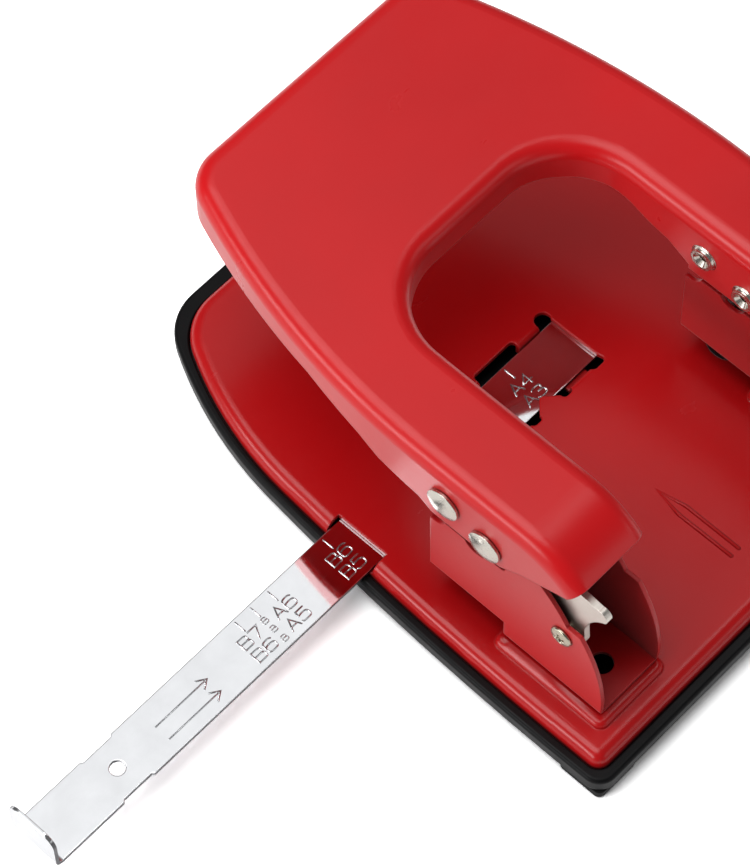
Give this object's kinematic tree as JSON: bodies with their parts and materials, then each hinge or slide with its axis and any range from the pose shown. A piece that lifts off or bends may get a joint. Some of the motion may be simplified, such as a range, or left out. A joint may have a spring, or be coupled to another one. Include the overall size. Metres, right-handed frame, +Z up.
{
  "type": "two-hole desk paper punch",
  "caption": "Heavy duty desk hole punch: red pressed steel base and lever with a U-shaped cut-out, riveted arms, black cover and sliding chrome paper ruler.",
  "frame": {"origin": "on the table surface, under the middle of the base plate", "axes": "+X to the right, the side on which the ruler comes out; -Y to the person who presses the paddle; +Z up"},
  "size_m": [0.2094, 0.1476, 0.0673],
  "materials": {
    "base_paint": "gloss red enamel",
    "post_paint": "gloss red enamel",
    "lever_paint": "gloss red enamel",
    "cover_plastic": "satin black moulding",
    "foot_rubber": "matt black",
    "ruler_chrome": "bright chrome",
    "arm_steel": "nickel plated, satin",
    "rivet_nickel": "nickel plated, bright",
    "pivot_steel": "zinc plated",
    "punch_steel": "ground and hardened",
    "spring_steel": "drawn wire",
    "die_steel": "ground and hardened"
  },
  "bodies": {
    "base": {"base_plate": "base_paint", "base_cover": "cover_plastic", "feet": "foot_rubber", "post_rivets": "post_paint", "right_post": "post_paint", "left_post": "post_paint", "right_die": "die_steel", "left_die": "die_steel", "right_guide": "die_steel", "left_guide": "die_steel", "right_pivot_sleeve": "pivot_steel", "left_pivot_sleeve": "pivot_steel", "right_pivot_screw": "pivot_steel", "left_pivot_screw": "pivot_steel", "right_spring": "spring_steel", "left_spring": "spring_steel"},
    "lever_unit": {"lever": "lever_paint", "right_lever_rivets": "rivet_nickel", "left_lever_rivets": "rivet_nickel", "right_rivet_sleeves": "rivet_nickel", "left_rivet_sleeves": "rivet_nickel", "right_arm": "arm_steel", "left_arm": "arm_steel"},
    "right_punch_unit": {"right_punch": "punch_steel", "right_cross_pin": "punch_steel", "right_spring_washer": "punch_steel"},
    "left_punch_unit": {"left_punch": "punch_steel", "left_cross_pin": "punch_steel", "left_spring_washer": "punch_steel"},
    "ruler_unit": {"ruler": "ruler_chrome"}
  },
  "joints": [
    {"name": "lever_press", "type": "hinge", "parent": "base", "child": "lever_unit", "pos_m": [0, 0.0523, 0.0342], "axis": [1, 0, 0], "range_deg": [0, 19], "stiffness_Nm_per_rad": 0.4, "springref_deg": -57.3},
    {"name": "right_punch_slide", "type": "slide", "parent": "base", "child": "right_punch_unit", "axis": [0, 0, -1], "range_m": [0, 0.00981], "deforming": ["right_spring"]},
    {"name": "left_punch_slide", "type": "slide", "parent": "base", "child": "left_punch_unit", "axis": [0, 0, -1], "range_m": [0, 0.00981], "deforming": ["left_spring"]},
    {"name": "ruler_slide", "type": "slide", "parent": "base", "child": "ruler_unit", "axis": [1, 0, 0], "range_m": [-0.0845, 0]}
  ],
  "couplings": [
    {"joint": "right_punch_slide", "follows": "lever_press", "m_per_rad": 0.02955},
    {"joint": "left_punch_slide", "follows": "lever_press", "m_per_rad": 0.02955}
  ]
}
